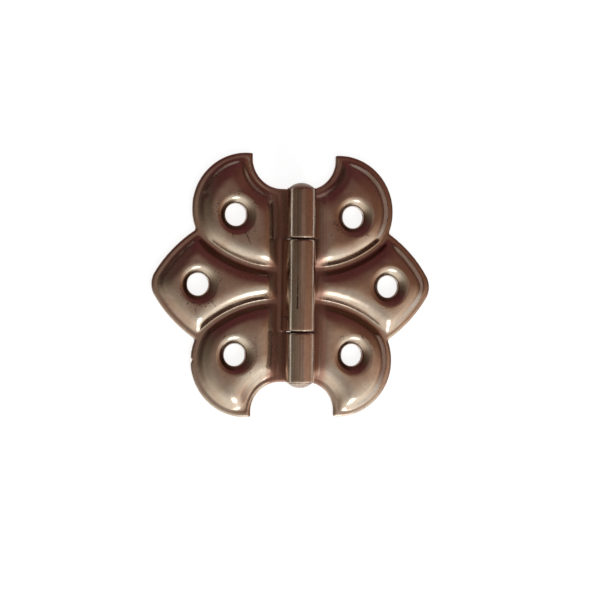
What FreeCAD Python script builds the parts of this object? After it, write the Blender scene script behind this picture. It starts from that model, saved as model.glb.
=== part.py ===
import FreeCAD, Part
import Sketcher
import math
import os

# Butterfly hinge: two stamped wings with pressed lobes, rolled knuckles and a headed pin.
# X runs across the wings, Y along the pin, Z out of the mounting face.

doc = FreeCAD.newDocument("butterfly_hinge")

# Sizes in millimetres and degrees
SIZES = [
    ("sheet_thick", 1.1, "thickness of the stamped sheet"),
    ("wing_reach", 32.1, "midline to the wing tip"),
    ("tip_radius", 5.0, "outline radius of the wing tip"),
    ("side_radius", 29.5, "outline radius of the wing side"),
    ("dent_along", 12.0, "cross line to the dent between lobe and wing"),
    ("lobe_across", 10.7, "midline to the centre of the round lobe outline"),
    ("lobe_along", 16.7, "cross line to the centre of the round lobe outline"),
    ("lobe_radius", 12.5, "outline radius of the round lobe"),
    ("lobe_join", 12.9, "midline to where the groove takes over from the round outline"),
    ("notch_across", 2.9, "midline to the centre of the end notch"),
    ("notch_along", 28.1, "cross line to the centre of the end notch"),
    ("notch_radius", 6.7, "radius of the end notch"),
    ("web_across", 3.8, "midline to the centre of the groove between lobes"),
    ("web_along", 28.3, "cross line to the centre of the groove between lobes"),
    ("web_radius", 24.75, "radius of the groove between lobes"),
    ("web_width", 1.45, "width of the groove floor"),
    ("rim_width", 1.45, "width of the flat rim"),
    ("strip_width", 4.0, "midline to the foot of the lobe walls"),
    ("edge_gap", 0.25, "midline to the free edge of the strip"),
    ("lobe_height", 2.1, "height of a lobe over the rim"),
    ("wall_angle", 54.0, "slope of the lobe walls"),
    ("wall_round", 3.3, "radius at the top of the lobe walls"),
    ("edge_round", 0.3, "radius on the front edge of the outline"),
    ("hole_across", 13.5, "midline to a lobe screw hole"),
    ("hole_along", 15.4, "cross line to a lobe screw hole"),
    ("tip_hole_across", 21.9, "midline to the wing screw hole"),
    ("hole_radius", 2.45, "radius of a screw hole"),
    ("dish_radius", 4.5, "radius of the dish round a screw hole"),
    ("dish_round", 1.6, "radius of the shoulder of the dish"),
    ("dish_angle", 42.0, "slope of the dish"),
    ("axis_shift", 0.45, "midline to the pin axis"),
    ("pin_radius", 2.08, "radius of the pin"),
    ("pin_clearance", 0.07, "radial play of the pin in the knuckles"),
    ("barrel_lift", 0.5, "gap between strip and barrel"),
    ("left_bend", 0.5, "bend radius at the middle knuckle"),
    ("right_bend", 0.3, "bend radius at the end knuckles"),
    ("root_lap", 0.35, "lap of a knuckle tab into its leaf"),
    ("roll_end", 125.0, "angle under the pin where the roll stops"),
    ("middle_half", 10.05, "half length of the middle knuckle"),
    ("knuckle_gap", 0.4, "gap between neighbouring knuckles"),
    ("relief_gap", 0.2, "slot beside a knuckle tab"),
    ("head_radius", 2.85, "radius of a pin head"),
    ("head_height", 1.2, "height of a pin head"),
]

dims = doc.addObject("Spreadsheet::Sheet", "dims")
row = 1
for alias, value, note in SIZES:
    dims.set("A%d" % row, note)
    dims.set("B%d" % row, str(value))
    dims.setAlias("B%d" % row, alias)
    row = row + 1
doc.recompute()


def size(alias):
    return float(dims.get(alias))


SHEET = size("sheet_thick")
ANGLE = math.radians(size("wall_angle"))
ROUND = size("wall_round")
HEIGHT = size("lobe_height")
BORE = "(dims.pin_radius + dims.pin_clearance)"
BARREL = "(dims.pin_radius + dims.pin_clearance + dims.sheet_thick)"
AXIS_Z = "(dims.sheet_thick * 2 + dims.barrel_lift + dims.pin_radius + dims.pin_clearance)"
STRIP_END = "(dims.notch_along - dims.notch_radius)"
UPRIGHT = FreeCAD.Rotation(FreeCAD.Vector(1, 0, 0), 90)
FAR = 60.0


def vec(x, y):
    return FreeCAD.Vector(x, y, 0)


def line(sketch, x0, y0, x1, y1):
    return sketch.addGeometry(Part.LineSegment(vec(x0, y0), vec(x1, y1)), False)


def arc(sketch, x, y, radius, start, end):
    circle = Part.Circle(vec(x, y), FreeCAD.Vector(0, 0, 1), radius)
    return sketch.addGeometry(Part.ArcOfCircle(circle, math.radians(start), math.radians(end)), False)


def rule(sketch, *terms):
    return sketch.addConstraint(Sketcher.Constraint(*terms))


def sized(sketch, name, expression, *terms):
    index = rule(sketch, *terms)
    sketch.renameConstraint(index, name)
    sketch.setExpression("Constraints." + name, expression)


def new_sketch(name, upright, across=None, along=None):
    sketch = doc.addObject("Sketcher::SketchObject", name)
    if upright:
        sketch.Placement = FreeCAD.Placement(FreeCAD.Vector(0, 0, 0), UPRIGHT)
    if across:
        sketch.setExpression("Placement.Base.x", across)
    if along:
        sketch.setExpression("Placement.Base.y", along)
    return sketch


# Wall profiles of the pressed lobes
def wall_sketch(name, foot, foot_value, inward, under, across=None, along=None):
    sketch = new_sketch(name, True, across, along)
    turn = -1.0 if inward else 1.0
    end = 0.0 if inward else FAR
    rise = HEIGHT - ROUND * (1 - math.cos(ANGLE))
    centre = foot_value + turn * (rise / math.tan(ANGLE) + ROUND * math.sin(ANGLE))
    radius = ROUND - SHEET if under else ROUND
    top = HEIGHT if under else HEIGHT + SHEET
    low = 0.0 if under else SHEET
    root = foot_value + turn * SHEET * math.tan(ANGLE / 2) if under else foot_value
    wall_x = centre - turn * radius * math.sin(ANGLE)
    wall_y = top - radius * (1 - math.cos(ANGLE))
    slope = math.degrees(ANGLE)
    base = line(sketch, end, 0, root, 0)
    wall = line(sketch, root, low, wall_x, wall_y)
    if inward:
        bow = arc(sketch, centre, top - radius, radius, 90 - slope, 90)
    else:
        bow = arc(sketch, centre, top - radius, radius, 90, 90 + slope)
    bow_ends = (1, 2) if inward else (2, 1)
    roof = line(sketch, centre, top, end, top)
    back = line(sketch, end, top, end, 0)
    rule(sketch, "Horizontal", base)
    rule(sketch, "Horizontal", roof)
    rule(sketch, "Vertical", back)
    rule(sketch, "PointOnObject", base, 1, -1)
    rule(sketch, "Tangent", wall, 2, bow, bow_ends[0])
    rule(sketch, "Tangent", bow, bow_ends[1], roof, 1)
    rule(sketch, "Coincident", roof, 2, back, 1)
    rule(sketch, "Coincident", back, 2, base, 1)
    if inward:
        rule(sketch, "PointOnObject", base, 1, -2)
        sized(sketch, "slope", "(180 - dims.wall_angle) * 1 deg", "Angle", wall, math.pi - ANGLE)
    else:
        rule(sketch, "DistanceX", -1, 1, base, 1, FAR)
        sized(sketch, "slope", "dims.wall_angle * 1 deg", "Angle", wall, ANGLE)
    sign = "-" if inward else "+"
    if under:
        rule(sketch, "Coincident", base, 2, wall, 1)
        inset = " %s dims.sheet_thick * tan(dims.wall_angle * 0.5 deg)" % sign
        sized(sketch, "foot", foot + inset, "DistanceX", -1, 1, base, 2, root)
        sized(sketch, "bow", "dims.wall_round - dims.sheet_thick", "Radius", bow, radius)
        sized(sketch, "top", "dims.lobe_height", "DistanceY", -1, 1, roof, 1, top)
    else:
        skirt = line(sketch, root, 0, root, low)
        rule(sketch, "Coincident", base, 2, skirt, 1)
        rule(sketch, "Coincident", skirt, 2, wall, 1)
        rule(sketch, "Vertical", skirt)
        sized(sketch, "skirt", "dims.sheet_thick", "DistanceY", skirt, 1, skirt, 2, low)
        sized(sketch, "foot", foot, "DistanceX", -1, 1, base, 2, root)
        sized(sketch, "bow", "dims.wall_round", "Radius", bow, radius)
        sized(sketch, "top", "dims.lobe_height + dims.sheet_thick", "DistanceY", -1, 1, roof, 1, top)
    return sketch


def turned(name, sketch, across, along, angle=None):
    solid = doc.addObject("Part::Revolution", name)
    solid.Source = sketch
    solid.Axis = FreeCAD.Vector(0, 0, 1)
    solid.Solid = True
    solid.Angle = 360
    solid.setExpression("Base.x", across)
    if along:
        solid.setExpression("Base.y", along)
    if angle:
        solid.setExpression("Angle", angle)
    return solid


def joined(kind, name, shapes):
    solid = doc.addObject(kind, name)
    solid.Shapes = shapes
    return solid


def cut(name, base, tool):
    solid = doc.addObject("Part::Cut", name)
    solid.Base = base
    solid.Tool = tool
    return solid


def mirrored(name, source, normal, across=None):
    solid = doc.addObject("Part::Mirroring", name)
    solid.Source = source
    solid.Normal = normal
    solid.Base = FreeCAD.Vector(0, 0, 0)
    if across:
        solid.setExpression("Base.x", across)
    return solid


# Half outline of a wing
plate_body = doc.addObject("PartDesign::Body", "plate_body")
plate = plate_body.newObject("Sketcher::SketchObject", "plate")
floor_plane = [o for o in plate_body.Origin.OriginFeatures if o.Role == "XY_Plane"][0]
plate.AttachmentSupport = [(floor_plane, "")]
plate.MapMode = "FlatFace"

tip_x = size("wing_reach") - size("tip_radius")
dent_y = size("dent_along")
dent_x = size("lobe_across") + math.sqrt(size("lobe_radius") ** 2 - (size("lobe_along") - dent_y) ** 2)
far_r = size("side_radius")
near_r = far_r - size("tip_radius")
span = math.hypot(dent_x - tip_x, dent_y)
foot_in = (near_r ** 2 - far_r ** 2 + span ** 2) / (2 * span)
foot_off = math.sqrt(near_r ** 2 - foot_in ** 2)
side_x = tip_x + (foot_in * (dent_x - tip_x) - foot_off * dent_y) / span
side_y = (foot_in * dent_y + foot_off * (dent_x - tip_x)) / span
tip_turn = math.degrees(math.atan2(-side_y, tip_x - side_x))
dent_turn = math.degrees(math.atan2(dent_y - side_y, dent_x - side_x))
end_y = size("notch_along") - size("notch_radius")
horn_x = size("notch_across") + size("notch_radius") - 0.1
horn_y = size("lobe_along") + size("lobe_radius") - 0.1
horn_notch = math.degrees(math.atan2(horn_y - size("notch_along"), horn_x - size("notch_across")))
horn_lobe = math.degrees(math.atan2(horn_y - size("lobe_along"), horn_x - size("lobe_across")))
dent_lobe = math.degrees(math.atan2(dent_y - size("lobe_along"), dent_x - size("lobe_across")))

edge = line(plate, size("edge_gap"), 0, size("edge_gap"), end_y)
ledge = line(plate, size("edge_gap"), end_y, size("notch_across"), end_y)
notch = arc(plate, size("notch_across"), size("notch_along"), size("notch_radius"), -90, horn_notch)
lobe = arc(plate, size("lobe_across"), size("lobe_along"), size("lobe_radius"), dent_lobe, horn_lobe)
side = arc(plate, side_x, side_y, far_r, tip_turn, dent_turn)
tip = arc(plate, tip_x, 0, size("tip_radius"), 0, tip_turn)
cross = line(plate, size("wing_reach"), 0, size("edge_gap"), 0)
rule(plate, "Coincident", edge, 2, ledge, 1)
rule(plate, "Tangent", ledge, 2, notch, 1)
rule(plate, "Coincident", notch, 2, lobe, 2)
rule(plate, "Coincident", lobe, 1, side, 2)
rule(plate, "Tangent", side, 1, tip, 2)
rule(plate, "Coincident", tip, 1, cross, 1)
rule(plate, "Coincident", cross, 2, edge, 1)
rule(plate, "Vertical", edge)
rule(plate, "Horizontal", ledge)
rule(plate, "PointOnObject", cross, 1, -1)
rule(plate, "PointOnObject", cross, 2, -1)
rule(plate, "PointOnObject", tip, 3, -1)
sized(plate, "edge_gap", "dims.edge_gap", "DistanceX", -1, 1, edge, 1, size("edge_gap"))
sized(plate, "notch_across", "dims.notch_across", "DistanceX", -1, 1, notch, 3, size("notch_across"))
sized(plate, "notch_along", "dims.notch_along", "DistanceY", -1, 1, notch, 3, size("notch_along"))
sized(plate, "notch_radius", "dims.notch_radius", "Radius", notch, size("notch_radius"))
sized(plate, "lobe_across", "dims.lobe_across", "DistanceX", -1, 1, lobe, 3, size("lobe_across"))
sized(plate, "lobe_along", "dims.lobe_along", "DistanceY", -1, 1, lobe, 3, size("lobe_along"))
sized(plate, "lobe_radius", "dims.lobe_radius", "Radius", lobe, size("lobe_radius"))
sized(plate, "dent_along", "dims.dent_along", "DistanceY", -1, 1, lobe, 1, dent_y)
sized(plate, "side_radius", "dims.side_radius", "Radius", side, far_r)
sized(plate, "tip_radius", "dims.tip_radius", "Radius", tip, size("tip_radius"))
sized(plate, "wing_reach", "dims.wing_reach", "DistanceX", -1, 1, tip, 1, size("wing_reach"))
across_ref = rule(plate, "DistanceX", -1, 1, side, 3, side_x)
plate.setDriving(across_ref, False)
plate.renameConstraint(across_ref, "side_across")
below_ref = rule(plate, "DistanceY", side, 3, -1, 1, -side_y)
plate.setDriving(below_ref, False)
plate.renameConstraint(below_ref, "side_below")
doc.recompute()

pad = plate_body.newObject("PartDesign::Pad", "plate_pad")
pad.Profile = plate
pad.setExpression("Length", "dims.sheet_thick")
plate.Visibility = False
doc.recompute()
front_edges = []
for index, shape_edge in enumerate(pad.Shape.Edges):
    box = shape_edge.BoundBox
    at_front = box.ZMin > SHEET - 0.01
    if at_front and isinstance(shape_edge.Curve, Part.Circle):
        front_edges.append("Edge%d" % (index + 1))
soften = plate_body.newObject("PartDesign::Fillet", "plate_edge")
soften.Base = (pad, front_edges)
soften.setExpression("Radius", "dims.edge_round")
plate_body.Tip = soften
doc.recompute()

SIDE_X = "plate.Constraints.side_across"
SIDE_Y = "(0 mm - plate.Constraints.side_below)"
TIP_X = "(dims.wing_reach - dims.tip_radius)"
TIP_TURN = "atan(plate.Constraints.side_below / (%s * 1 mm - %s))" % (TIP_X, SIDE_X)


# Pressed forms: outer faces of the lobes, then the hollow under them
def lobe_forms(tag, under):
    lobe_foot = size("lobe_radius") - size("rim_width")
    web_in = size("web_radius") - size("web_width") / 2
    web_out = size("web_radius") + size("web_width") / 2
    notch_foot = size("notch_radius") + size("rim_width")
    side_foot = size("side_radius") - size("rim_width")
    tip_foot = size("tip_radius") - size("rim_width")
    place = ("dims.lobe_across", "dims.lobe_along")
    foot = "dims.lobe_radius - dims.rim_width"
    sketch = wall_sketch("lobe_wall" + tag, foot, lobe_foot, True, under, *place)
    lobe_form = turned("lobe_form" + tag, sketch, *place)
    inner_form = doc.addObject("Part::Box", "inner_form" + tag)
    inner_form.Height = FAR
    inner_form.Placement.Base.z = -1.0
    inner_form.setExpression("Length", "dims.lobe_join")
    inner_form.setExpression("Width", "dims.lobe_along")
    place = ("dims.web_across", "dims.web_along")
    foot = "dims.web_radius - dims.web_width / 2"
    sketch = wall_sketch("web_wall" + tag, foot, web_in, True, under, *place)
    web_form = turned("web_form" + tag, sketch, *place)
    foot = "dims.web_radius + dims.web_width / 2"
    sketch = wall_sketch("wing_wall" + tag, foot, web_out, False, under, *place)
    wing_form = turned("wing_form" + tag, sketch, *place)
    place = ("dims.notch_across", "dims.notch_along")
    foot = "dims.notch_radius + dims.rim_width"
    sketch = wall_sketch("notch_wall" + tag, foot, notch_foot, False, under, *place)
    notch_form = turned("notch_form" + tag, sketch, *place)
    foot = "dims.strip_width"
    sketch = wall_sketch("strip_wall" + tag, foot, size("strip_width"), False, under)
    strip_form = doc.addObject("Part::Extrusion", "strip_form" + tag)
    strip_form.Base = sketch
    strip_form.DirMode = "Custom"
    strip_form.Dir = FreeCAD.Vector(0, 1, 0)
    strip_form.LengthFwd = FAR
    strip_form.Solid = True
    place = (SIDE_X, SIDE_Y)
    foot = "dims.side_radius - dims.rim_width"
    sketch = wall_sketch("side_wall" + tag, foot, side_foot, True, under, *place)
    side_form = turned("side_form" + tag, sketch, *place)
    foot = "dims.tip_radius - dims.rim_width"
    sketch = wall_sketch("tip_wall" + tag, foot, tip_foot, True, under, TIP_X)
    tip_form = turned("tip_form" + tag, sketch, TIP_X, None, TIP_TURN)
    wedge = doc.addObject("Part::Cylinder", "tip_wedge" + tag)
    wedge.Radius = FAR
    wedge.Height = FAR
    wedge.setExpression("Angle", TIP_TURN)
    wedge.setExpression("Placement.Base.x", TIP_X)
    wedge.Placement.Base.z = -1.0
    round_sides = [web_form, notch_form, strip_form]
    outer_part = joined("Part::MultiCommon", "outer_part" + tag, [lobe_form] + round_sides)
    inner_part = joined("Part::MultiCommon", "inner_part" + tag, [inner_form] + round_sides)
    wing_lobe = joined("Part::MultiCommon", "wing_lobe" + tag, [side_form, wing_form, strip_form])
    wing_trim = cut("wing_trim" + tag, wing_lobe, wedge)
    wing_half = joined("Part::MultiFuse", "wing_half" + tag, [wing_trim, tip_form])
    return outer_part, inner_part, wing_half


# Dishes round the screw holes
def dish_sketch(name, across, along, under):
    sketch = new_sketch(name, True, across, along)
    lean = math.radians(size("dish_angle"))
    reach = size("dish_radius")
    radius = size("dish_round") - SHEET if under else size("dish_round")
    centre_y = SHEET + HEIGHT - size("dish_round")
    low_x = reach - radius * math.sin(lean)
    low_y = centre_y + radius * math.cos(lean)
    roof_y = centre_y + 5.0
    slope = line(sketch, 0, low_y - low_x * math.tan(lean), low_x, low_y)
    bow = arc(sketch, reach, centre_y, radius, 90, 90 + size("dish_angle"))
    outer = line(sketch, reach, centre_y + radius, reach, roof_y)
    roof = line(sketch, reach, roof_y, 0, roof_y)
    axis = line(sketch, 0, roof_y, 0, low_y - low_x * math.tan(lean))
    rule(sketch, "Tangent", slope, 2, bow, 2)
    rule(sketch, "Coincident", bow, 1, outer, 1)
    rule(sketch, "Coincident", outer, 2, roof, 1)
    rule(sketch, "Coincident", roof, 2, axis, 1)
    rule(sketch, "Coincident", axis, 2, slope, 1)
    rule(sketch, "Vertical", outer)
    rule(sketch, "Horizontal", roof)
    rule(sketch, "PointOnObject", roof, 2, -2)
    rule(sketch, "PointOnObject", slope, 1, -2)
    rule(sketch, "Vertical", bow, 3, bow, 1)
    sized(sketch, "reach", "dims.dish_radius", "DistanceX", -1, 1, bow, 3, reach)
    middle = "dims.sheet_thick + dims.lobe_height - dims.dish_round"
    sized(sketch, "middle", middle, "DistanceY", -1, 1, bow, 3, centre_y)
    sized(sketch, "roof", middle + " + 5", "DistanceY", -1, 1, roof, 1, roof_y)
    sized(sketch, "lean", "dims.dish_angle * 1 deg", "Angle", slope, lean)
    if under:
        sized(sketch, "bow", "dims.dish_round - dims.sheet_thick", "Radius", bow, radius)
    else:
        sized(sketch, "bow", "dims.dish_round", "Radius", bow, radius)
    return sketch


def dish(name, across, along, under):
    return turned(name, dish_sketch(name + "_line", across, along, under), across, along)


def bore(name, across, along):
    solid = doc.addObject("Part::Cylinder", name)
    solid.Height = FAR
    solid.setExpression("Radius", "dims.hole_radius")
    solid.setExpression("Placement.Base.x", across)
    if along:
        solid.setExpression("Placement.Base.y", along)
    solid.Placement.Base.z = -1.0
    return solid


outer_face, inner_face, wing_face = lobe_forms("_face", False)
outer_hollow, inner_hollow, wing_hollow = lobe_forms("_under", True)
LOBE_HOLE = ("dims.hole_across", "dims.hole_along")
TIP_HOLE = ("dims.tip_hole_across", None)
lobe_dish = dish("lobe_dish", *LOBE_HOLE, False)
lobe_dish_under = dish("lobe_dish_under", *LOBE_HOLE, True)
outer_top = cut("outer_top", outer_face, lobe_dish)
inner_top = cut("inner_top", inner_face, lobe_dish)
wing_top = cut("wing_top", wing_face, dish("tip_dish", *TIP_HOLE, False))
outer_room = cut("outer_room", outer_hollow, lobe_dish_under)
inner_room = cut("inner_room", inner_hollow, lobe_dish_under)
wing_room = cut("wing_room", wing_hollow, dish("tip_dish_under", *TIP_HOLE, True))
blank = joined("Part::MultiFuse", "blank", [plate_body, outer_top, inner_top, wing_top])
rooms = joined("Part::MultiFuse", "rooms", [outer_room, inner_room, wing_room])
pressed = cut("pressed", blank, rooms)
holes = joined("Part::MultiFuse", "holes", [bore("lobe_hole", *LOBE_HOLE), bore("tip_hole", *TIP_HOLE)])
half_wing = cut("half_wing", pressed, holes)
other_half = mirrored("other_half", half_wing, FreeCAD.Vector(0, 1, 0))
right_wing = joined("Part::MultiFuse", "right_wing", [half_wing, other_half])
right_wing.Refine = True
left_wing = mirrored("left_wing", right_wing, FreeCAD.Vector(1, 0, 0))
doc.recompute()


# Knuckles rolled from the sheet
def tab_sketch(name, bend, start):
    sketch = new_sketch(name, True, None, start)
    shift = size("axis_shift")
    radius = size(bend)
    inner = size("pin_radius") + size("pin_clearance")
    outer = inner + SHEET
    axis_z = SHEET + size("barrel_lift") + outer
    stop = size("roll_end")
    turn = math.radians(stop)
    bend_x = shift - outer - radius
    root_x = bend_x - size("root_lap")
    bend_z = SHEET + radius
    end_x = math.cos(turn)
    end_z = -math.sin(turn)
    root_top = line(sketch, root_x, SHEET, bend_x, SHEET)
    bend_in = arc(sketch, bend_x, bend_z, radius, -90, 0)
    rise_out = line(sketch, shift - outer, bend_z, shift - outer, axis_z)
    roll_out = arc(sketch, shift, axis_z, outer, -stop, 180)
    stop_face = line(sketch, shift + outer * end_x, axis_z + outer * end_z, shift + inner * end_x,
                     axis_z + inner * end_z)
    roll_in = arc(sketch, shift, axis_z, inner, -stop, 180)
    rise_in = line(sketch, shift - inner, axis_z, shift - inner, bend_z)
    bend_out = arc(sketch, bend_x, bend_z, radius + SHEET, -90, 0)
    root_low = line(sketch, bend_x, 0, root_x, 0)
    root_end = line(sketch, root_x, 0, root_x, SHEET)
    rule(sketch, "Tangent", root_top, 2, bend_in, 1)
    rule(sketch, "Tangent", bend_in, 2, rise_out, 1)
    rule(sketch, "Tangent", rise_out, 2, roll_out, 2)
    rule(sketch, "Coincident", roll_out, 1, stop_face, 1)
    rule(sketch, "Coincident", stop_face, 2, roll_in, 1)
    rule(sketch, "Tangent", roll_in, 2, rise_in, 1)
    rule(sketch, "Tangent", rise_in, 2, bend_out, 2)
    rule(sketch, "Tangent", bend_out, 1, root_low, 1)
    rule(sketch, "Coincident", root_low, 2, root_end, 1)
    rule(sketch, "Coincident", root_end, 2, root_top, 1)
    rule(sketch, "Coincident", roll_in, 3, roll_out, 3)
    rule(sketch, "Coincident", bend_out, 3, bend_in, 3)
    rule(sketch, "Horizontal", root_top)
    rule(sketch, "Horizontal", root_low)
    rule(sketch, "Vertical", rise_out)
    rule(sketch, "Vertical", root_end)
    rule(sketch, "PointOnObject", roll_out, 3, stop_face)
    sized(sketch, "shift", "dims.axis_shift", "DistanceX", -1, 1, roll_out, 3, shift)
    sized(sketch, "axis_high", AXIS_Z, "DistanceY", -1, 1, roll_out, 3, axis_z)
    sized(sketch, "outer", BARREL, "Radius", roll_out, outer)
    sized(sketch, "inner", BORE, "Radius", roll_in, inner)
    sized(sketch, "bend", "dims." + bend, "Radius", bend_in, radius)
    sized(sketch, "thick", "dims.sheet_thick", "DistanceY", -1, 1, root_top, 1, SHEET)
    sized(sketch, "lap", "dims.root_lap", "DistanceX", root_top, 1, root_top, 2, size("root_lap"))
    sized(sketch, "stop", "(180 - dims.roll_end) * 1 deg", "Angle", stop_face, math.pi - turn)
    return sketch


def tab(name, bend, start, length):
    solid = doc.addObject("Part::Extrusion", name)
    solid.Base = tab_sketch(name + "_line", bend, start)
    solid.DirMode = "Custom"
    solid.Dir = FreeCAD.Vector(0, 1, 0)
    solid.Solid = True
    solid.setExpression("LengthFwd", length)
    return solid


def opening(name, across, width, along, length):
    solid = doc.addObject("Part::Box", name)
    solid.Height = FAR
    solid.Placement.Base.z = -1.0
    solid.setExpression("Placement.Base.x", across)
    solid.setExpression("Length", width)
    solid.setExpression("Placement.Base.y", along)
    solid.setExpression("Width", length)
    return solid


MIDDLE_TAB = ("0 - dims.middle_half", "2 * dims.middle_half")
END_START = "(dims.middle_half + dims.knuckle_gap)"
END_TAB = (END_START, STRIP_END + " - " + END_START)
middle_tab = tab("middle_tab", "left_bend", *MIDDLE_TAB)
end_tab_plan = tab("end_tab_plan", "right_bend", *END_TAB)
upper_tab = mirrored("upper_tab", end_tab_plan, FreeCAD.Vector(1, 0, 0), "dims.axis_shift")
lower_tab = mirrored("lower_tab", upper_tab, FreeCAD.Vector(0, 1, 0))

left_cut_x = "dims.axis_shift - %s - dims.left_bend" % BARREL
left_cut = opening("left_cut", left_cut_x, "%s + dims.left_bend + 1" % BARREL,
                   "0 - dims.middle_half - dims.relief_gap", "2 * (dims.middle_half + dims.relief_gap)")
upper_cut = opening("upper_cut", "0 - 1", "1 + dims.axis_shift + %s + dims.right_bend" % BARREL,
                    END_START + " - dims.relief_gap", STRIP_END)
lower_cut = mirrored("lower_cut", upper_cut, FreeCAD.Vector(0, 1, 0))
right_cut = joined("Part::MultiFuse", "right_cut", [upper_cut, lower_cut])
left_open = cut("left_open", left_wing, left_cut)
right_open = cut("right_open", right_wing, right_cut)
left_leaf = joined("Part::MultiFuse", "left_leaf", [left_open, middle_tab])
right_leaf = joined("Part::MultiFuse", "right_leaf", [right_open, upper_tab, lower_tab])
left_leaf.Refine = True
right_leaf.Refine = True
doc.recompute()

# Headed pin
pin_line = new_sketch("pin_line", False, "dims.axis_shift")
pin_line.setExpression("Placement.Base.z", AXIS_Z)
head_r = size("head_radius")
head_h = size("head_height")
dome_r = (head_r ** 2 + head_h ** 2) / (2 * head_h)
dome_turn = math.degrees(math.asin(head_r / dome_r))
shank = size("pin_radius")
core = line(pin_line, 0, -end_y - head_h, 0, end_y + head_h)
top_dome = arc(pin_line, 0, end_y + head_h - dome_r, dome_r, 90 - dome_turn, 90)
top_seat = line(pin_line, head_r, end_y, shank, end_y)
body_side = line(pin_line, shank, end_y, shank, -end_y)
low_seat = line(pin_line, shank, -end_y, head_r, -end_y)
low_dome = arc(pin_line, 0, dome_r - end_y - head_h, dome_r, -90, dome_turn - 90)
rule(pin_line, "Coincident", core, 2, top_dome, 2)
rule(pin_line, "Coincident", top_dome, 1, top_seat, 1)
rule(pin_line, "Coincident", top_seat, 2, body_side, 1)
rule(pin_line, "Coincident", body_side, 2, low_seat, 1)
rule(pin_line, "Coincident", low_seat, 2, low_dome, 2)
rule(pin_line, "Coincident", low_dome, 1, core, 1)
rule(pin_line, "PointOnObject", core, 1, -2)
rule(pin_line, "PointOnObject", top_dome, 3, -2)
rule(pin_line, "PointOnObject", low_dome, 3, -2)
rule(pin_line, "Horizontal", top_seat)
rule(pin_line, "Horizontal", low_seat)
rule(pin_line, "Symmetric", core, 1, core, 2, -1, 1)
rule(pin_line, "Symmetric", body_side, 1, body_side, 2, -1)
rule(pin_line, "Vertical", low_seat, 2, top_seat, 1)
sized(pin_line, "shank", "dims.pin_radius", "DistanceX", -1, 1, body_side, 1, shank)
sized(pin_line, "seat", STRIP_END, "DistanceY", -1, 1, body_side, 1, end_y)
sized(pin_line, "head", "dims.head_radius", "DistanceX", -1, 1, top_seat, 1, head_r)
sized(pin_line, "dome", "dims.head_height", "DistanceY", top_seat, 1, core, 2, head_h)
hinge_pin = doc.addObject("Part::Revolution", "hinge_pin")
hinge_pin.Source = pin_line
hinge_pin.Axis = FreeCAD.Vector(0, 1, 0)
hinge_pin.Angle = 360
hinge_pin.Solid = True
hinge_pin.setExpression("Base.x", "dims.axis_shift")
hinge_pin.setExpression("Base.z", AXIS_Z)
doc.recompute()

# Proof that every step holds
for item in doc.Objects:
    if "Invalid" in item.State or "Error" in item.State:
        raise RuntimeError("step failed: " + item.Label)
for item in doc.Objects:
    if item.isDerivedFrom("Part::Feature") and not item.Shape.isNull():
        if not item.Shape.isValid():
            raise RuntimeError("bad shape: " + item.Label)
for item in doc.Objects:
    if item.TypeId == "Part::Cut" and item.Shape.Volume > item.Base.Shape.Volume - 0.001:
        raise RuntimeError("nothing cut: " + item.Label)

os.makedirs("parts", exist_ok=True)
for node in (left_leaf, right_leaf, hinge_pin):
    node.Label = node.Name
    if len(node.Shape.Solids) != 1:
        raise RuntimeError("not one solid: " + node.Label)
    node.Shape.exportStep("parts/" + node.Label + ".step")
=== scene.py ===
"""Butterfly cabinet hinge in old nickel plate: pressed leaves, headed pin, studio light and camera."""

import math
from types import SimpleNamespace

import bpy
from bpy.props import FloatProperty, FloatVectorProperty, IntProperty, PointerProperty
from mathutils import Matrix, Vector, noise


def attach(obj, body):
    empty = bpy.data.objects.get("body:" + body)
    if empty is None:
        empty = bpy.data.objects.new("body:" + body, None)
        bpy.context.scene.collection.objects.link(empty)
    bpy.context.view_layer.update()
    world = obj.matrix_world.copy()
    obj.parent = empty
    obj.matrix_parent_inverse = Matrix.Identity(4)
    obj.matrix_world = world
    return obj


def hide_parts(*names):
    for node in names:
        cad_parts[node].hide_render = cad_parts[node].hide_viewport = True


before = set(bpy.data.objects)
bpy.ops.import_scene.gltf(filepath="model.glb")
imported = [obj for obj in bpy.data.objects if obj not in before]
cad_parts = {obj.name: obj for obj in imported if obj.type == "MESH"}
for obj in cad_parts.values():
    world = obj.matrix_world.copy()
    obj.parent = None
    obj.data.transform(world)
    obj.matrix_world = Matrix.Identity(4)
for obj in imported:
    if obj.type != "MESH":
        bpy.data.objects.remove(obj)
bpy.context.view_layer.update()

bl_info = {
    "name": "Butterfly hinge",
    "version": (1, 0, 0),
    "blender": (4, 5, 0),
    "location": "3D View > Sidebar > Hinge",
    "description": "Presses and plates the leaves and pin of a butterfly hinge in a small studio",
    "category": "Object",
}

MM = 0.001
PHOTO_SIDE = 600

# Places on the hinge, in millimetres. Holes and notches repeat in all four quarters.
SCREW_HOLES = ((13.5, 15.4), (21.9, 0.0))
NOTCH_CENTRE = (2.9, 28.1)
RIM_HEIGHT = 1.1
PIN_AXIS = (0.45, 4.85)
BARREL_RADIUS = 3.25
KNUCKLE_END = 21.1
KNUCKLE_SPLIT = 10.25
KNUCKLE_SIDE = (3.9, 6.0)

# Where an effect fades in or out, in millimetres from the place that it belongs to
NOTCH_FALL = (8.2, 12.5)
DISH_BOWL = (2.4, 6.4)
DISH_KEPT = (4.6, 5.6)
JOINT_REACH = (0.3, 1.3)
BARREL_SIDE = (3.6, 4.0)
BARREL_FOOT = (1.2, 1.9)
INNER_WALLS = (5.0, 7.5)
STRIP_HEIGHT = (1.4, 2.0)

# Each leaf: its node, its body, and the side of the barrel that it lies on
LEAVES = (("left_leaf", "door_side", -1), ("right_leaf", "frame_side", 1))

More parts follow.
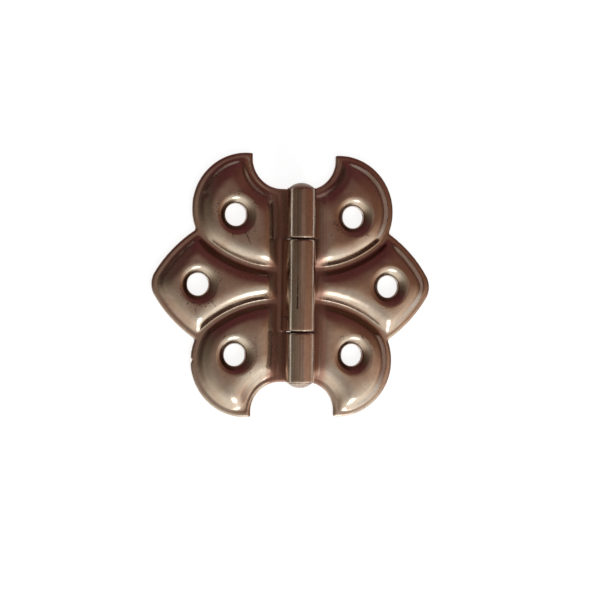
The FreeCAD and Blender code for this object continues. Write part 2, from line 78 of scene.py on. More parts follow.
# Knocks that only the door leaf has: place, radius and push in millimetres
KNOCKS = (
    ((-20.5, 19.7), 0.9, (0.0, 0.0, -0.3)),
    ((-23.2, -16.7), 0.7, (0.3, 0.15, 0.0)),
)

# Cracks and scratches of each piece: start, end and width in millimetres, seen from the front
HAIRLINES = {
    "left_leaf": (
        ((-14.6, 11.2), (-14.5, 10.2), 0.16),
        ((-11.8, 11.6), (-10.4, 8.8), 0.15),
        ((-19.3, -3.6), (-18.2, -4.8), 0.16),
        ((-22.9, -5.2), (-22.7, -5.9), 0.12),
        ((-1.1, -5.0), (-1.0, 2.2), 0.24),
        ((-2.7, -6.8), (-2.6, -8.2), 0.13),
        ((-16.2, -11.2), (-16.5, -11.9), 0.12),
    ),
    "right_leaf": (
        ((15.3, -11.1), (16.0, -11.9), 0.20),
        ((8.6, 14.4), (8.9, 13.7), 0.14),
        ((18.4, -0.2), (18.8, -0.5), 0.16),
        ((5.8, -3.4), (6.6, -3.3), 0.10),
    ),
    "hinge_pin": (),
}

# Panels of the light tent: bearing in degrees from +X towards +Y, and light
TENT_PANELS = (
    (-180, (0.19, 0.15, 0.12)),
    (-150, (0.36, 0.30, 0.25)),
    (-115, (0.88, 0.81, 0.73)),
    (-65, (1.22, 1.22, 1.18)),
    (-35, (1.05, 0.92, 0.82)),
    (-15, (0.65, 0.44, 0.34)),
    (5, (0.29, 0.15, 0.10)),
    (45, (0.165, 0.058, 0.056)),
    (110, (0.13, 0.04, 0.044)),
    (150, (0.12, 0.075, 0.06)),
    (180, (0.19, 0.15, 0.12)),
)
TENT_TOP = (0.34, 0.24, 0.20)


class HingeFinish(bpy.types.PropertyGroup):
    """Colours and wear of the old nickel plate."""

    nickel: FloatVectorProperty(
        name="Nickel", description="Colour of the clean plate",
        subtype="COLOR", size=4, min=0.0, max=1.0, default=(0.50, 0.445, 0.37, 1.0))
    tarnish: FloatVectorProperty(
        name="Tarnish", description="Colour of the plate where it has yellowed and reddened",
        subtype="COLOR", size=4, min=0.0, max=1.0, default=(0.43, 0.295, 0.23, 1.0))
    crest: FloatVectorProperty(
        name="Worn crest", description="Colour of folds and edges that hands have polished",
        subtype="COLOR", size=4, min=0.0, max=1.0, default=(0.62, 0.55, 0.49, 1.0))
    # Also the colour of the painted shade in hollow folds.
    grime_and_shade: FloatVectorProperty(
        name="Grime", description="Colour of old dirt in scratches, cracks, pits and joints",
        subtype="COLOR", size=4, min=0.0, max=1.0, default=(0.05, 0.036, 0.03, 1.0))
    # Painted shade: the dark brown given to steep walls by the way they face.
    painted_film: FloatVectorProperty(
        name="Brown film", description="Colour of the old film on steep walls, where no cloth reaches",
        subtype="COLOR", size=4, min=0.0, max=1.0, default=(0.13, 0.06, 0.036, 1.0))
    # Painted reflection: a dull red, made mostly not metallic, on the strips beside the barrel and in
    # bands on the inner walls, standing in for the reddish light that they would reflect.
    red_reflection: FloatVectorProperty(
        name="Rust", description="Colour of the dull red film in the corners beside the barrel",
        subtype="COLOR", size=4, min=0.0, max=1.0, default=(0.42, 0.18, 0.12, 1.0))
    gloss: FloatProperty(
        name="Roughness", description="Roughness of the plate where it is cleanest",
        subtype="FACTOR", min=0.0, max=1.0, default=0.14)
    dull: FloatProperty(
        name="Dull roughness", description="Roughness of the plate where it is most tarnished",
        subtype="FACTOR", min=0.0, max=1.0, default=0.24)
    relief: FloatProperty(
        name="Relief", description="Depth of the fine unevenness, tool lines and cracks in the plate",
        unit="LENGTH", default=0.03 * MM)


class HingeForm(bpy.types.PropertyGroup):
    """How the press has left the sheet, and the meshes that show it."""

    grain: FloatProperty(
        name="Mesh grain", description="Spacing of the even mesh of a leaf",
        unit="LENGTH", default=0.23 * MM)
    pin_grain: FloatProperty(
        name="Pin grain", description="Spacing of the even mesh of the pin",
        unit="LENGTH", default=0.15 * MM)
    fairing: IntProperty(
        name="Fairing", description="Rounds of smoothing over a whole leaf", min=0, default=7)
    pin_fairing: IntProperty(
        name="Pin fairing", description="Rounds of smoothing over the pin", min=0, default=8)
    pressing: IntProperty(
        name="Pressing", description="Rounds of smoothing that dome the lobes", min=0, default=240)
    wave: FloatProperty(
        name="Wave", description="Height of the waves that pressing leaves in the lobes",
        unit="LENGTH", default=0.03 * MM)
    drop: FloatProperty(
        name="Notch drop", description="How far the door leaf's lobes fall towards the wall of the notch",
        unit="LENGTH", default=0.7 * MM)
    close: FloatProperty(
        name="Joint closing", description="How far each knuckle reaches into the joint beside it",
        unit="LENGTH", default=0.07 * MM)
    bowl: FloatProperty(
        name="Dish bowl", description="How far the sheet sinks round a screw hole beside its dish",
        unit="LENGTH", default=0.2 * MM)


class HingeStudio(bpy.types.PropertyGroup):
    """Camera, floor and light of the small studio."""

    distance: FloatProperty(
        name="Camera distance", description="From the camera to the middle of the hinge",
        unit="LENGTH", default=0.4)
    lean: FloatProperty(
        name="Camera lean", description="How far the camera leans over to the left leaf",
        subtype="ANGLE", default=math.radians(16.5))
    roll: FloatProperty(
        name="Camera roll", description="Turn of the camera about its own line of sight",
        subtype="ANGLE", default=math.radians(0.61))
    scale: FloatProperty(
        name="Pixels per millimetre", description="Size of the hinge in the frame", default=4.507)
    middle: FloatVectorProperty(
        name="Middle in the frame", description="Pixel on which the middle of the hinge falls",
        size=2, default=(293.85, 285.48))
    floor_tone: FloatProperty(
        name="Floor tone", description="How pale the floor is",
        subtype="FACTOR", min=0.0, max=1.0, default=0.8)
    floor_glow: FloatProperty(
        name="Floor glow", description="Light that the floor adds where it is seen", min=0.0, default=0.8)
    room_light: FloatProperty(
        name="Room light", description="Strength of the world as a light", min=0.0, default=0.25)
    tent_reach: FloatProperty(
        name="Tent radius", description="Radius of the light tent", unit="LENGTH", default=0.2)
    lamp_power: FloatProperty(
        name="Lamp power", description="Power of the soft lamp", unit="POWER", default=0.045)
    lamp_width: FloatProperty(
        name="Lamp width", description="Width of the soft lamp", unit="LENGTH", default=0.085)
    lamp_reach: FloatProperty(
        name="Lamp distance", description="From the lamp to the hinge", unit="LENGTH", default=0.18)
    lamp_bearing: FloatProperty(
        name="Lamp bearing", description="Where the lamp stands, from +X towards +Y",
        subtype="ANGLE", default=math.radians(-70.0))
    lamp_tilt: FloatProperty(
        name="Lamp tilt", description="How far the lamp stands from straight overhead",
        subtype="ANGLE", default=math.radians(58.0))


class Net:
    """Short calls for wiring a shader tree."""

    def __init__(self, tree):
        self.tree = tree

    def add(self, kind, inputs=None, **settings):
        node = self.tree.nodes.new(kind)
        for key, value in settings.items():
            setattr(node, key, value)
        for key, value in (inputs or {}).items():
            self.feed(node.inputs[key], value)
        return node

    def feed(self, socket, value):
        if isinstance(value, bpy.types.NodeSocket):
            self.tree.links.new(value, socket)
        else:
            socket.default_value = value

    def math(self, operation, *values):
        return self.add("ShaderNodeMath", dict(enumerate(values)), operation=operation).outputs[0]

    def chain(self, operation, values):
        """One operation over any number of values, from the left."""
        total, *others = values
        for value in others:
            total = self.math(operation, total, value)
        return total

    def times(self, *values):
        return self.chain("MULTIPLY", values)

    def plus(self, *values):
        return self.chain("ADD", values)

    def most(self, *values):
        return self.chain("MAXIMUM", values)

    def less(self, value, other):
        return self.math("SUBTRACT", value, other)

    def size(self, value):
        return self.math("ABSOLUTE", value)

    def line(self, value, slope, start):
        return self.math("MULTIPLY_ADD", value, slope, start)

    def inverse(self, share):
        return self.less(1.0, share)

    def sway(self, share, height):
        """A share that varies about a half, made to vary about 0."""
        return self.times(self.less(share, 0.5), height)

    def vector(self, operation, *values):
        node = self.add("ShaderNodeVectorMath", dict(enumerate(values)), operation=operation)
        return node.outputs["Value" if operation in ("DOT_PRODUCT", "LENGTH") else "Vector"]

    def scaled(self, vector, factor):
        return self.add("ShaderNodeVectorMath", {0: vector, "Scale": factor}, operation="SCALE").outputs[0]

    def step(self, value, low, high):
        """0 below low, 1 above high, and smooth between them."""
        return self.add("ShaderNodeMapRange", {"Value": value, "From Min": low, "From Max": high},
                        interpolation_type="SMOOTHSTEP").outputs[0]

    def fall(self, value, low, high):
        """1 below low, 0 above high, and smooth between them."""
        return self.inverse(self.step(value, low, high))

    def mix(self, share, first, second):
        """From one colour to another."""
        node = self.add("ShaderNodeMix", {0: share, 6: first, 7: second}, data_type="RGBA")
        return node.outputs[2]

    def blend(self, share, first, second):
        """From one number to another."""
        return self.add("ShaderNodeMix", {0: share, 2: first, 3: second}, data_type="FLOAT").outputs[0]

    def noise(self, vector, scale, detail=2.0, roughness=0.5, distortion=0.0):
        return self.add("ShaderNodeTexNoise", {
            "Vector": vector, "Scale": scale, "Detail": detail, "Roughness": roughness,
            "Distortion": distortion}).outputs["Fac"]

    def split(self, vector):
        return self.add("ShaderNodeSeparateXYZ", {0: vector}).outputs

    def joined(self, x, y, z):
        return self.add("ShaderNodeCombineXYZ", {0: x, 1: y, 2: z}).outputs[0]

    def group(self, name, inputs):
        """The outputs of a shared group, which is made when it is first needed."""
        tree = bpy.data.node_groups.get(name) or SHARED_GROUPS[name](name)
        return self.add("ShaderNodeGroup", inputs, node_tree=tree).outputs


def new_group(name, inputs, outputs):
    """An empty shader group with named sockets: its net, what it is given and what it puts out."""
    tree = bpy.data.node_groups.new(name, "ShaderNodeTree")
    for label, kind, value in inputs:
        socket = tree.interface.new_socket(name=label, in_out="INPUT", socket_type=kind)
        socket.default_value = value
    for label in outputs:
        tree.interface.new_socket(name=label, in_out="OUTPUT", socket_type="NodeSocketFloat")
    net = Net(tree)
    return net, net.add("NodeGroupInput").outputs, net.add("NodeGroupOutput").inputs


def aged_plate_group(name):
    """Clouds of tarnish, fine mottling and dark specks in old plate. Place is in millimetres."""
    net, given, out = new_group(
        name, (("Place", "NodeSocketVector", (0, 0, 0)),), ("Clouds", "Mottle", "Specks"))
    place = given["Place"]
    net.feed(out["Clouds"], net.step(net.noise(place, 0.17, 3.0, 0.55, 0.6), 0.38, 0.68))
    net.feed(out["Mottle"], net.noise(place, 1.1, 4.0, 0.6))
    dots = net.step(net.noise(place, 2.3, 1.0), 0.69, 0.76)
    patches = net.step(net.noise(place, 0.3, 2.0), 0.45, 0.65)
    net.feed(out["Specks"], net.times(dots, patches))
    return net.tree


def tool_lines_group(name):
    """Lines that the rolling tool drew along the barrel. Across and Along are in millimetres."""
    net, given, out = new_group(
        name, (("Across", "NodeSocketFloat", 0.0), ("Along", "NodeSocketFloat", 0.0)), ("Lines", "Bands"))
    slow = net.times(given["Along"], 0.035)
    fine = net.noise(net.joined(net.times(given["Across"], 3.2), slow, 0.0), 1.0, 3.0, 0.7)
    broad = net.noise(net.joined(net.times(given["Across"], 0.9), slow, 4.0), 1.0, 1.0)
    net.feed(out["Lines"], net.step(fine, 0.3, 0.72))
    net.feed(out["Bands"], net.step(broad, 0.3, 0.7))
    return net.tree


def hairline_group(name):
    """A wavering crack or scratch from Start to End, seen along Z. Places are in millimetres."""
    net, given, out = new_group(name, (
        ("Place", "NodeSocketVector", (0, 0, 0)), ("Start", "NodeSocketVector", (0, 0, 0)),
        ("End", "NodeSocketVector", (0, 1, 0)), ("Width", "NodeSocketFloat", 0.1)), ("Mask",))
    stir = net.add("ShaderNodeTexNoise", {"Vector": given["Place"], "Scale": 1.3, "Detail": 2.0})
    waver = net.scaled(net.vector("SUBTRACT", stir.outputs["Color"], (0.5, 0.5, 0.5)), 0.35)
    flat = net.vector("MULTIPLY", net.vector("ADD", given["Place"], waver), (1, 1, 0))
    run = net.vector("SUBTRACT", given["End"], given["Start"])
    lead = net.vector("SUBTRACT", flat, given["Start"])
    share = net.math("DIVIDE", net.vector("DOT_PRODUCT", lead, run), net.vector("DOT_PRODUCT", run, run))
    share = net.add("ShaderNodeClamp", {0: share}).outputs[0]
    away = net.vector("LENGTH", net.vector("SUBTRACT", lead, net.scaled(run, share)))
    taper = net.times(given["Width"], net.less(1.0, net.times(share, 0.6)))
    thin = net.fall(net.math("DIVIDE", away, taper), 0.35, 1.0)
    broken = net.step(net.noise(given["Place"], 2.6, 2.0), 0.33, 0.46)
    net.feed(out["Mask"], net.times(thin, broken))
    return net.tree


def dish_pits_group(name):
    """Small pits in the plate along the lips of the dished holes. Place is in millimetres."""
    net, given, out = new_group(name, (("Place", "NodeSocketVector", (0, 0, 0)),), ("Pits",))
    quarter = net.vector("MULTIPLY", net.vector("ABSOLUTE", given["Place"]), (1, 1, 0))
    away = net.chain("MINIMUM", [
        net.vector("LENGTH", net.vector("SUBTRACT", quarter, (*hole, 0.0))) for hole in SCREW_HOLES])
    lip = net.times(net.step(away, 3.8, 4.4), net.fall(away, 5.0, 5.8))
    pits = net.step(net.noise(given["Place"], 2.8, 1.0), 0.60, 0.68)
    patches = net.step(net.noise(given["Place"], 0.22, 1.0), 0.50, 0.62)
    net.feed(out["Pits"], net.times(lip, pits, patches))
    return net.tree


def fold_shade_and_wear_group(name):
    """Painted shade in hollow folds and polish on crests, from how pointed the surface is."""
    net, given, out = new_group(name, (("Pointed", "NodeSocketFloat", 0.5),), ("Crease_shade", "Crest"))
    # Painted shade: the least pointed places, the hollow folds, are darkened.
    net.feed(out["Crease_shade"], net.fall(given["Pointed"], 0.44, 0.495))
    net.feed(out["Crest"], net.step(given["Pointed"], 0.55, 0.70))
    return net.tree


SHARED_GROUPS = {
    "aged_plate": aged_plate_group,
    "tool_lines": tool_lines_group,
    "hairline": hairline_group,
    "dish_pits": dish_pits_group,
    "fold_shade_and_wear": fold_shade_and_wear_group,
}


def plate_masks(net):
    """Places on a piece, the marks of age and tools that every part of the plate shares, and the painted
    shade of its hollow folds.
    """
    coords = net.add("ShaderNodeTexCoord").outputs
    place = net.scaled(coords["Object"], 1.0 / MM)
    x, y, z = net.split(place)
    off_x = net.less(x, PIN_AXIS[0])
    aside = net.size(off_x)
    turn = net.math("ARCTAN2", net.less(z, PIN_AXIS[1]), off_x)
    barrel = net.times(net.fall(aside, *BARREL_SIDE), net.step(z, *BARREL_FOOT))
    pointed = net.add("ShaderNodeNewGeometry").outputs["Pointiness"]
    return SimpleNamespace(
        place=place, z=z, off_x=off_x, along=net.size(y), normal=coords["Normal"], barrel=barrel,
        inner=net.times(net.fall(aside, *INNER_WALLS), net.inverse(barrel)),
        aged=net.group("aged_plate", {"Place": place}),
        shaded_and_worn_folds=net.group("fold_shade_and_wear", {"Pointed": pointed}),
        lines=net.group("tool_lines", {"Across": net.times(turn, BARREL_RADIUS), "Along": y}),
        walls=net.group("tool_lines", {"Across": x, "Along": y}))


def crack_mask(net, plate, node_name):
    """The cracks and scratches of a piece, on its front only."""
    cracks = 0.0
    for start, end, width in HAIRLINES[node_name]:
        mask = net.group("hairline", {
            "Place": plate.place, "Start": (*start, 0.0), "End": (*end, 0.0), "Width": width})["Mask"]
        cracks = net.most(cracks, net.times(mask, net.step(plate.z, 1.2, 1.6)))
    return cracks


def dirt_and_shade_mask(net, plate, cracks):
    """Old soiling in cracks, specks and pits, painted shade in hollow folds, and darkening at the joints
    between knuckles.
    """
    pits = net.group("dish_pits", {"Place": plate.place})["Pits"]
    joint = net.fall(net.size(net.less(plate.along, KNUCKLE_SPLIT)), 0.18, 0.30)
    return net.most(
        # Painted shade in hollow folds, at about a quarter strength.
        cracks, net.times(plate.aged["Specks"], 0.8), net.times(plate.shaded_and_worn_folds["Crease_shade"], 0.26), pits,
        net.times(joint, plate.barrel, 0.9))


def steep_wall_shade_mask(net, plate):
    """Painted shade: a dark brown on steep walls that face back or aside, most of all on those that face
    +X, chosen by the way they face.
    """
    lean_x, lean_y, lean_z = net.split(plate.normal)
    rolled = net.times(plate.barrel, net.fall(plate.along, KNUCKLE_END - 0.2, KNUCKLE_END + 0.2))
    steep = net.fall(net.line(net.most(lean_x, 0.0), -0.35, lean_z), 0.60, 0.84)
    return net.times(
        steep, net.step(lean_y, -0.5, -0.1), net.inverse(net.most(rolled, plate.inner)),
        net.line(plate.aged["Mottle"], 0.2, 0.78))


def red_reflection_mask(net, plate):
    """Painted reflection: a dull red on the strips beside the barrel and in bands on the inner walls,
    standing in for reddish reflected light.
    """
    strip = net.fall(plate.z, *STRIP_HEIGHT)
    return net.times(plate.inner, net.most(strip, plate.walls["Bands"]), 0.75)


def polish_mask(net, plate):
    """Bright metal on crests and on the rings at the outer ends of the barrel."""
    ring = net.fall(net.size(net.less(plate.along, KNUCKLE_END)), 0.05, 0.22)
    ring = net.times(ring, plate.barrel, net.step(plate.aged["Mottle"], 0.3, 0.55))
    return net.times(net.most(plate.shaded_and_worn_folds["Crest"], ring), 0.55)


def bare_plate_colour(net, plate, finish):
    """Nickel that has reddened in clouds and bands, with mottling and streaks, and a painted sheen on the
    left flank of the barrel.
    """
    low = net.fall(plate.z, RIM_HEIGHT, 2.6)
    reddened = net.plus(
        net.times(plate.aged["Clouds"], 0.45), net.times(low, 0.2),
        net.times(plate.barrel, plate.lines["Bands"], 0.4),
        net.times(plate.inner, net.line(plate.walls["Bands"], 0.7, 0.3)))
    colour = net.mix(reddened, finish.nickel, finish.tarnish)
    to_left = net.times(plate.off_x, -1.0)
    streaks = net.times(net.sway(plate.lines["Lines"], 0.2), plate.barrel)
    streaks = net.times(streaks, net.line(net.step(to_left, -0.5, 2.0), 2.0, 1.0))
    # Painted sheen: the left flank of the barrel is lightened.
    painted_shoulder_sheen = net.times(net.step(to_left, 2.4, 3.1), plate.barrel, 0.4)
    wall_lines = net.times(net.sway(plate.walls["Lines"], 0.55), plate.inner)
    shade = net.plus(1.0, wall_lines, net.sway(plate.aged["Mottle"], 0.3), streaks, painted_shoulder_sheen)
    return net.vector("MULTIPLY", colour, net.joined(shade, shade, shade))


def plate_material(name, node_name, finish):
    """Old nickel plate with tarnish, tool lines on the barrel, polished crests, a few cracks, painted
    shade in hollow folds and on steep walls, a painted sheen on the barrel's left flank and a painted red
    reflection beside the barrel.
    """
    material = bpy.data.materials.new(name)
    material.use_nodes = True
    shader = material.node_tree.nodes["Principled BSDF"].inputs
    net = Net(material.node_tree)
    plate = plate_masks(net)
    cracks = crack_mask(net, plate, node_name)
    dirt_and_shade = dirt_and_shade_mask(net, plate, cracks)
    red_reflection = red_reflection_mask(net, plate)
    drawn = net.times(plate.barrel, plate.lines["Lines"])
    mottle = plate.aged["Mottle"]

    colour = bare_plate_colour(net, plate, finish)
    colour = net.mix(polish_mask(net, plate), colour, finish.crest)
    # Painted shade: dark brown on steep walls that face back or aside.
    colour = net.mix(steep_wall_shade_mask(net, plate), colour, finish.painted_film)
    # Painted reflection: dull red on the strips and inner walls beside the barrel, which also takes away
    # most of their metal.
    colour = net.mix(red_reflection, colour, finish.red_reflection)
    # Dark marks: soiling in cracks, specks and pits, painted shade in hollow folds, and darker knuckle
    # joints.
    net.feed(shader["Base Color"], net.mix(dirt_and_shade, colour, finish.grime_and_shade))
    net.feed(shader["Metallic"], net.less(1.0, net.times(red_reflection, 0.9)))

    rough = net.blend(net.times(plate.aged["Clouds"], 0.8), finish.gloss, finish.dull)
    net.feed(shader["Roughness"], net.plus(
        rough, net.sway(mottle, 0.12), net.times(drawn, 0.06), net.times(plate.inner, 0.14),
        net.times(dirt_and_shade, 0.35)))

    uneven = net.times(net.noise(plate.place, 0.55), 0.9)
    height = net.plus(uneven, net.times(mottle, 0.02), net.times(drawn, 0.16), net.times(cracks, -0.9))
    bump = net.add("ShaderNodeBump", {"Height": height, "Strength": 0.35, "Distance": finish.relief})
    net.feed(shader["Normal"], bump.outputs[0])
    return material


def only(piece):
    """Selects one object and makes it the active one."""
    bpy.ops.object.select_all(action="DESELECT")
    piece.select_set(True)
    bpy.context.view_layer.objects.active = piece


def ease(low, high, value):
    """Smooth step from 0 at low to 1 at high."""
    share = min(max((value - low) / (high - low), 0.0), 1.0)
    return share * share * (3.0 - 2.0 * share)


def hole_distance(x, y):
    """How far a place is from the middle of the nearest screw hole, in millimetres."""
    return min(math.hypot(abs(x) - hole_x, abs(y) - hole_y) for hole_x, hole_y in SCREW_HOLES)


def press_weight(point, normal, side):
    """How far the press has softened a leaf, on the side of -X or +X, at a point: from 0 to 1."""
    x, y, z = (part / MM for part in point)
    back = ease(-0.4, 0.1, normal.y)
    crisp_wall = (1.0 - ease(0.65, 0.95, abs(normal.z))) * ease(-0.4, 0.1, -normal.x) * back
    soft = ease(0.0, 0.4, normal.x)
    foot = RIM_HEIGHT - 0.2 * soft
    crown = 1.25 + 0.3 * back * (1.0 - soft) - 0.15 * soft
    raised = ease(foot, crown, z) if normal.z > 0.0 else ease(0.05, 0.5, z)
    raised *= 1.0 - 0.75 * crisp_wall
    has_knuckle = (abs(y) < KNUCKLE_SPLIT) == (side < 0)
    clear = ease(*KNUCKLE_SIDE, side * x) if has_knuckle else 1.0
    return raised * ease(*DISH_KEPT, hole_distance(x, y)) * clear


def notch_share(point):
    """How near a point of a lobe is to the wall of its notch, from 0 to 1."""
    away = math.hypot(abs(point.x) / MM - NOTCH_CENTRE[0], abs(point.y) / MM - NOTCH_CENTRE[1])
    return 1.0 - ease(*NOTCH_FALL, away)


def dish_share(point):
    """How near a point is to a screw hole, from 0 to 1."""
    return 1.0 - ease(*DISH_BOWL, hole_distance(point.x / MM, point.y / MM))


def joint_shift(point, close):
    """How far a point beside a knuckle joint moves along Y to close the joint."""
    if abs(point.x) / MM > KNUCKLE_SIDE[0]:
        return 0.0
    y = point.y / MM
    off = abs(y) - KNUCKLE_SPLIT
    return -math.copysign(close, y * off) * (1.0 - ease(*JOINT_REACH, abs(off)))


def merged_copy(node_name, name):
    """A new piece with a merged copy of a CAD node's mesh."""
    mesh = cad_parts[node_name].data.copy()
    mesh.name = name
    piece = bpy.data.objects.new(name, mesh)
    bpy.context.scene.collection.objects.link(piece)
    only(piece)
    bpy.ops.object.mode_set(mode="EDIT")
    bpy.ops.mesh.select_all(action="SELECT")
    bpy.ops.mesh.remove_doubles(threshold=1e-6)
    bpy.ops.object.mode_set(mode="OBJECT")
    return piece


def even_mesh(piece, grain):
    """Gives a piece an even mesh of the given grain."""
    only(piece)
    even = piece.modifiers.new("even", "REMESH")
    even.mode = "VOXEL"
    even.voxel_size = grain
    bpy.ops.object.modifier_apply(modifier=even.name)


def soften(piece, label, rounds, share=""):
    """Smooths a piece, all of it or by the weights of a vertex group."""
    smooth = piece.modifiers.new(label, "SMOOTH")
    smooth.factor = 0.5
    smooth.iterations = rounds
    smooth.vertex_group = share
    bpy.ops.object.modifier_apply(modifier=smooth.name)


def press(piece, side, form):
    """Gives a leaf an even mesh and softens its hips and folds as a press leaves them."""
    even_mesh(piece, form.grain)
    group = piece.vertex_groups.new(name="pressed")
    weights = [press_weight(vertex.co, vertex.normal, side) for vertex in piece.data.vertices]
    for vertex, weight in zip(piece.data.vertices, weights):
        group.add([vertex.index], weight, "REPLACE")
        if side < 0:
            vertex.co.z -= form.drop * weight * notch_share(vertex.co)
        vertex.co.z -= form.bowl * dish_share(vertex.co) * ease(0.0, 0.8, vertex.co.z / MM)
        vertex.co.y += joint_shift(vertex.co, form.close)
    soften(piece, "fair", form.fairing)
    soften(piece, "press", form.pressing, group.name)
    age(piece, weights, form.wave)
    bpy.ops.object.shade_smooth()


def age(piece, weights, wave):
    """Adds the waves of the press and the knocks of long use."""
    for vertex, weight in zip(piece.data.vertices, weights):
        flat = Vector((vertex.co.x, vertex.co.y, 0.0)) / MM
        vertex.co.z += wave * weight * (noise.noise(flat / 4.0) + 0.25 * noise.noise(flat / 1.4))
        for place, radius, push in KNOCKS:
            near = 1.0 - ease(0.0, radius, math.hypot(flat.x - place[0], flat.y - place[1]))
            vertex.co.xy += Vector(push[:2]) * MM * near
            vertex.co.z += push[2] * MM * near * ease(0.2, 1.0, vertex.co.z / MM)


def plated(piece, material):
    """Gives a piece its one material."""
    piece.data.materials.clear()
    piece.data.materials.append(material)


class HINGE_OT_leaves(bpy.types.Operator):
    """Presses and plates the two leaves"""

    bl_idname = "hinge.leaves"
    bl_label = "Press the leaves"

    def execute(self, context):
        for node_name, body, side in LEAVES:
            piece = merged_copy(node_name, node_name + "_plate")
            press(piece, side, context.scene.hinge_form)
            plated(piece, plate_material("old_nickel_" + node_name, node_name, context.scene.hinge_finish))
            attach(piece, body)
            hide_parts(node_name)
        return {"FINISHED"}


class HINGE_OT_pin(bpy.types.Operator):
    """Plates the headed pin"""

    bl_idname = "hinge.pin"
    bl_label = "Plate the pin"

    def execute(self, context):
        form = context.scene.hinge_form
        piece = merged_copy("hinge_pin", "headed_pin")
        even_mesh(piece, form.pin_grain)
        soften(piece, "fair", form.pin_fairing)
        bpy.ops.object.shade_smooth()
        plated(piece, plate_material("old_nickel_pin", "hinge_pin", context.scene.hinge_finish))
        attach(piece, "frame_side")
        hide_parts("hinge_pin")
        return {"FINISHED"}


def seen_share(net):
    """1 for what the camera sees itself or in metal and glass."""
    path = net.add("ShaderNodeLightPath").outputs
    return net.most(path["Is Camera Ray"], path["Is Glossy Ray"], path["Is Transmission Ray"])


def lay_floor(studio):
    """A pale floor just under the hinge, white where it is seen."""
    bpy.ops.object.select_all(action="DESELECT")
    bpy.ops.mesh.primitive_plane_add(size=6.0, location=(0, 0, -0.1 * MM))
    floor = bpy.context.active_object
    floor.name = "floor"
    material = bpy.data.materials.new("pale_floor")
    material.use_nodes = True
    net = Net(material.node_tree)
    shader = material.node_tree.nodes["Principled BSDF"].inputs
    shader["Base Color"].default_value = (studio.floor_tone, studio.floor_tone, studio.floor_tone, 1.0)
    shader["Roughness"].default_value = 1.0
    shader["Specular IOR Level"].default_value = 0.0
    shader["Emission Color"].default_value = (1.0, 1.0, 1.0, 1.0)
    net.feed(shader["Emission Strength"], net.times(seen_share(net), studio.floor_glow))
    floor.data.materials.append(material)


def light_room(scene, studio):
    """A dim white world as a light, and a full white one where it is seen."""
    world = bpy.data.worlds.new("studio")
    world.use_nodes = True
    scene.world = world
    net = Net(world.node_tree)
    background = world.node_tree.nodes["Background"].inputs
    background["Color"].default_value = (1.0, 1.0, 1.0, 1.0)
    net.feed(background["Strength"], net.blend(seen_share(net), studio.room_light, 1.0))


def tent_mesh(reach):
    """Half a ball of quads that stands on the floor."""
    sides, ring_step = 64, 6
    points = []
    for height in range(0, 91, ring_step):
        radius, z = reach * math.cos(math.radians(height)), reach * math.sin(math.radians(height))
        for side in range(sides):
            bearing = 2 * math.pi * side / sides
            points.append((radius * math.cos(bearing), radius * math.sin(bearing), z))
    faces = []
    for ring in range(90 // ring_step):
        for side in range(sides):
            here, beside = ring * sides + side, ring * sides + (side + 1) % sides
            faces.append((here, beside, beside + sides, here + sides))
    mesh = bpy.data.meshes.new("tent")
    mesh.from_pydata(points, [], faces)
    return mesh


def tent_material():
    """Panels of light round the tent, which fade into a dim top."""
    material = bpy.data.materials.new("tent_panels")
    material.use_nodes = True
    material.node_tree.nodes.clear()
    net = Net(material.node_tree)
    x, y, z = net.split(net.vector("NORMALIZE", net.add("ShaderNodeTexCoord").outputs["Object"]))
    turn = net.plus(net.math("DIVIDE", net.math("ARCTAN2", y, x), 2.0 * math.pi), 0.5)
    panels = net.add("ShaderNodeValToRGB", {0: turn})
    stops = panels.color_ramp.elements
    # A ramp's colours stop at 1, so it holds the light over the gain
    gain = 2.0
    for index, (degrees, light) in enumerate(TENT_PANELS):
        at = degrees / 360.0 + 0.5
        stop = stops[index] if index < 2 else stops.new(at)
        stop.position = at
        stop.color = (*(part / gain for part in light), 1.0)
    top = (*(part / gain for part in TENT_TOP), 1.0)
    tilt = net.math("ARCCOSINE", z)
    front = net.step(net.times(y, -1.0), 0.0, 0.6)
    start = net.line(front, math.radians(6.0), math.radians(6.0))
    full = net.line(front, math.radians(20.0), math.radians(32.0))
    light = net.mix(net.step(tilt, start, full), top, panels.outputs[0])
    low = net.step(tilt, math.radians(48.0), math.radians(68.0))
    strength = net.line(net.times(low, front), 0.7, gain)
    glow = net.add("ShaderNodeEmission", {"Color": light, "Strength": strength})
    net.add("ShaderNodeOutputMaterial", {"Surface": glow.outputs[0]}, is_active_output=True)
    return material


def raise_tent(scene, studio):
    """A light tent that shows in metal only."""
    tent = bpy.data.objects.new("tent", tent_mesh(studio.tent_reach))
    scene.collection.objects.link(tent)
    tent.visible_camera = False
    tent.visible_diffuse = False
    tent.visible_shadow = False
    tent.visible_transmission = False
    tent.data.materials.append(tent_material())


def hang_lamp(scene, studio):
    """A soft round lamp at the front that faces the hinge."""
    data = bpy.data.lights.new("softbox", "AREA")
    data.shape = "DISK"
    data.size = studio.lamp_width
    data.energy = studio.lamp_power
    lamp = bpy.data.objects.new("softbox", data)
    scene.collection.objects.link(lamp)
    lamp.visible_camera = False
    aside = math.sin(studio.lamp_tilt)
    way = Vector((aside * math.cos(studio.lamp_bearing), aside * math.sin(studio.lamp_bearing),
                  math.cos(studio.lamp_tilt)))
    lamp.location = way * studio.lamp_reach
    lamp.rotation_euler = (-way).to_track_quat("-Z", "Y").to_euler()


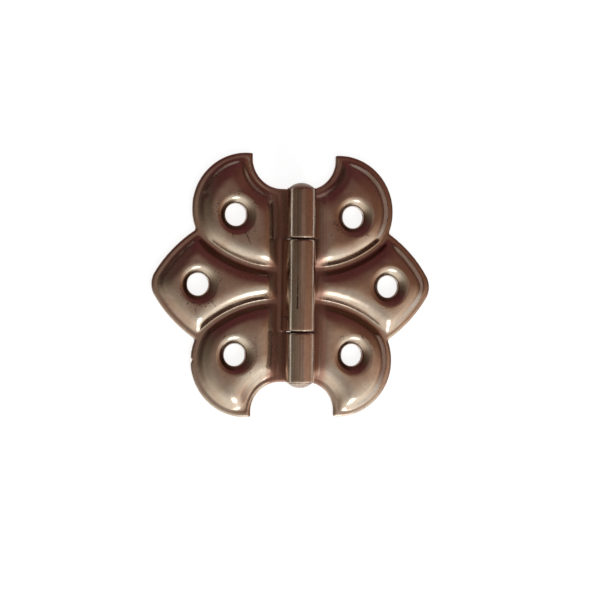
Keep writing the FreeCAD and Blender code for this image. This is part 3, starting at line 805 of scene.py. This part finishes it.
def set_camera(scene, studio):
    """The camera of the photo: it leans over the left leaf, and the hinge sits off the frame's middle."""
    sight = Vector((math.sin(studio.lean), 0.0, -math.cos(studio.lean)))
    right = sight.cross(Vector((0.0, 1.0, 0.0))).normalized()
    up = right.cross(sight)
    turn = Matrix.Rotation(-studio.roll, 3, sight)
    right, up = turn @ right, turn @ up
    off_x, off_y = (PHOTO_SIDE / 2 - pixel for pixel in studio.middle)
    aim = Vector((0.0, 0.0, RIM_HEIGHT * MM)) + (right * off_x - up * off_y) * MM / studio.scale
    data = bpy.data.cameras.new("camera")
    data.sensor_width = 36.0
    data.lens = studio.scale * studio.distance / MM * data.sensor_width / PHOTO_SIDE
    data.clip_start = 0.01
    camera = bpy.data.objects.new("camera", data)
    scene.collection.objects.link(camera)
    camera.matrix_world = Matrix((right, up, -sight)).transposed().to_4x4()
    camera.location = aim - sight * studio.distance
    scene.camera = camera
    scene.view_settings.view_transform = "Standard"


class HINGE_OT_studio(bpy.types.Operator):
    """Builds the floor, the light tent, the lamp and the camera"""

    bl_idname = "hinge.studio"
    bl_label = "Build the studio"

    def execute(self, context):
        scene, studio = context.scene, context.scene.hinge_studio
        lay_floor(studio)
        light_room(scene, studio)
        raise_tent(scene, studio)
        hang_lamp(scene, studio)
        set_camera(scene, studio)
        return {"FINISHED"}


class HINGE_PT_panel(bpy.types.Panel):
    """Lists the hinge's pieces and its studio"""

    bl_idname = "HINGE_PT_panel"
    bl_label = "Butterfly hinge"
    bl_space_type = "VIEW_3D"
    bl_region_type = "UI"
    bl_category = "Hinge"

    def draw(self, context):
        for operator in OPERATORS:
            self.layout.operator(operator.bl_idname)


SETTINGS = (("hinge_finish", HingeFinish), ("hinge_form", HingeForm), ("hinge_studio", HingeStudio))
OPERATORS = (HINGE_OT_leaves, HINGE_OT_pin, HINGE_OT_studio)
CLASSES = tuple(kind for name, kind in SETTINGS) + OPERATORS + (HINGE_PT_panel,)


def register():
    for cls in CLASSES:
        bpy.utils.register_class(cls)
    for name, kind in SETTINGS:
        setattr(bpy.types.Scene, name, PointerProperty(type=kind))


def unregister():
    for name, kind in SETTINGS:
        delattr(bpy.types.Scene, name)
    for cls in reversed(CLASSES):
        bpy.utils.unregister_class(cls)


def main():
    register()
    bpy.ops.hinge.leaves()
    bpy.ops.hinge.pin()
    bpy.ops.hinge.studio()


if __name__ == "__main__":
    main()
